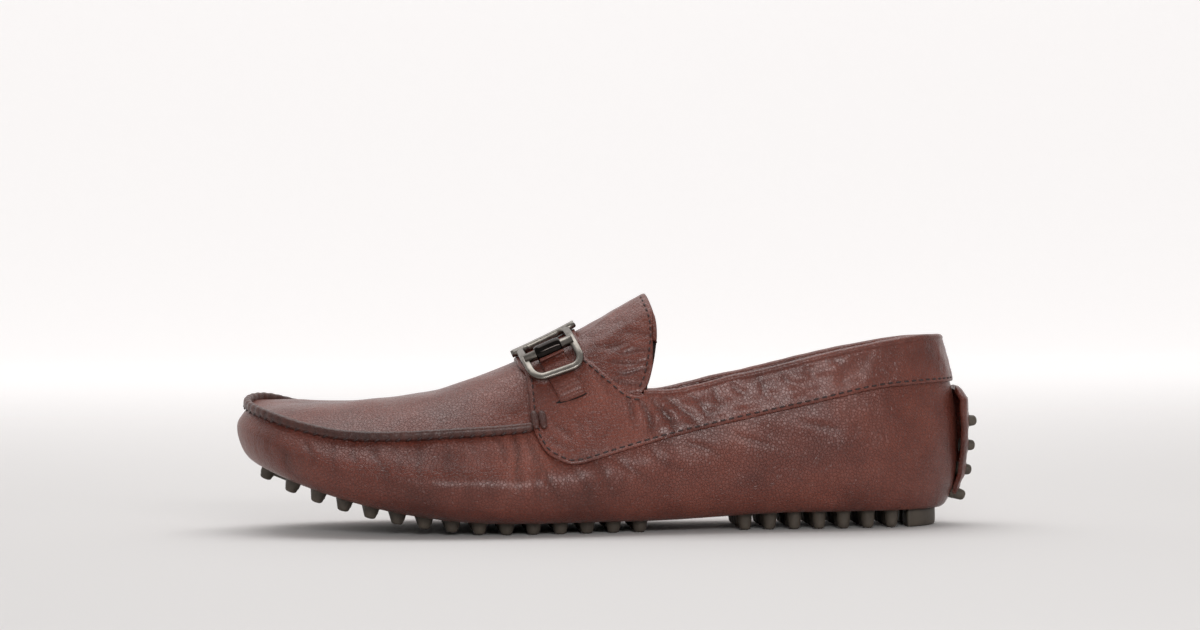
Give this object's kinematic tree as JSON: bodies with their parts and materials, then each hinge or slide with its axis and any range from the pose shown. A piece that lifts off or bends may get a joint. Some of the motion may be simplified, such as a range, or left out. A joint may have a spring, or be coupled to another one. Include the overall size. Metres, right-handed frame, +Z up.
{
  "type": "leather driving moccasin",
  "caption": "Left leather driving moccasin with a raised apron seam, saddle with metal ornament, tall tongue, pebbled rubber sole and heel patch.",
  "frame": {"origin": "on the floor, below the middle of the shoe's length and width", "axes": "-X towards the toe, -Y towards the outer side of the foot, +Z up"},
  "size_m": [0.2901, 0.1003, 0.0917],
  "materials": {
    "wrap_leather": "semi-gloss pebbled grain",
    "saddle_leather": "semi-gloss pebbled grain",
    "seam_leather": "semi-gloss",
    "lining": "matt",
    "rubber": "matt",
    "gunmetal": "brushed antique gunmetal",
    "dark_gunmetal": "polished dark"
  },
  "bodies": {
    "root": {"upper": "wrap_leather", "tongue": "saddle_leather", "saddle": "saddle_leather", "moccasin_seam": "seam_leather", "insole": "lining", "toe_sole": "rubber", "forefoot_sole": "rubber", "heel_sole": "rubber", "heel_patch": "wrap_leather", "back_pebbles": "rubber", "ornament": "gunmetal", "roller_outer": "dark_gunmetal", "roller_inner": "dark_gunmetal", "strap_outer": "saddle_leather", "strap_inner": "saddle_leather"}
  },
  "joints": []
}
